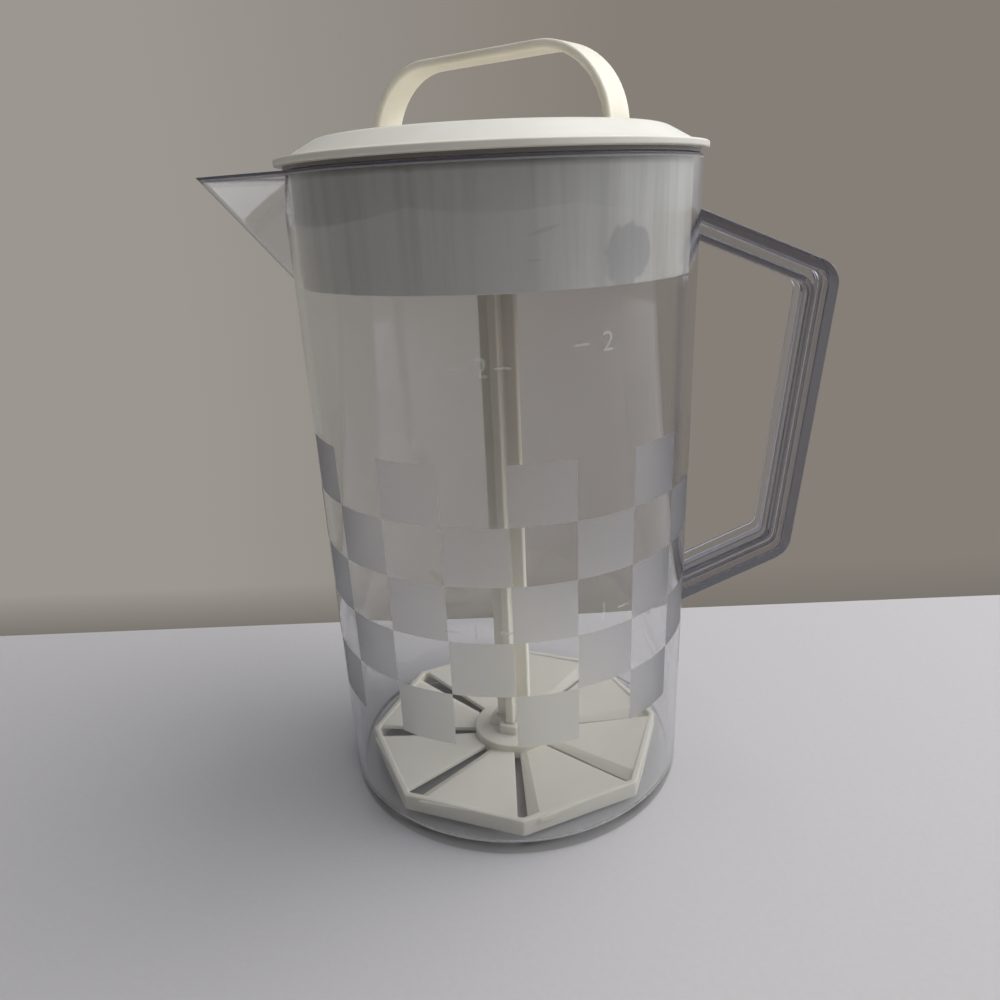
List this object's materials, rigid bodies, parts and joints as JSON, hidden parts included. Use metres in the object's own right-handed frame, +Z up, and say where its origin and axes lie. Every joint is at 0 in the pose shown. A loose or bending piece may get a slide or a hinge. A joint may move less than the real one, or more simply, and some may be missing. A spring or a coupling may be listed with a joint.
{
  "type": "quick stir pitcher",
  "caption": "Clear spouted jug with an angular handle and a domed lid, which an arch-handled plunger with a vaned stirring wheel slides through.",
  "frame": {"origin": "centre of the jug's flat base, on its underside", "axes": "+Z up along the jug's axis, +X towards the handle, so the spout points to -X"},
  "size_m": [0.2068, 0.1352, 0.2512],
  "materials": {
    "clear_san": "clear, polished, with a fine frosted checker band on the jug",
    "ivory_pp": "moulded satin",
    "matt_ivory_pp": "moulded, fine matt"
  },
  "bodies": {
    "jug": {"jug_body": "clear_san", "jug_handle": "clear_san"},
    "lid": {"lid": "ivory_pp"},
    "plunger": {"plunger_handle": "ivory_pp", "plunger_rod": "matt_ivory_pp", "stirring_wheel": "matt_ivory_pp"}
  },
  "joints": [
    {"name": "lid_lift", "type": "slide", "parent": "jug", "child": "lid", "axis": [0, 0, 1], "range_m": [0, 0.225]},
    {"name": "plunger_stroke", "type": "slide", "parent": "lid", "child": "plunger", "axis": [0, 0, 1], "range_m": [0, 0.197]}
  ]
}
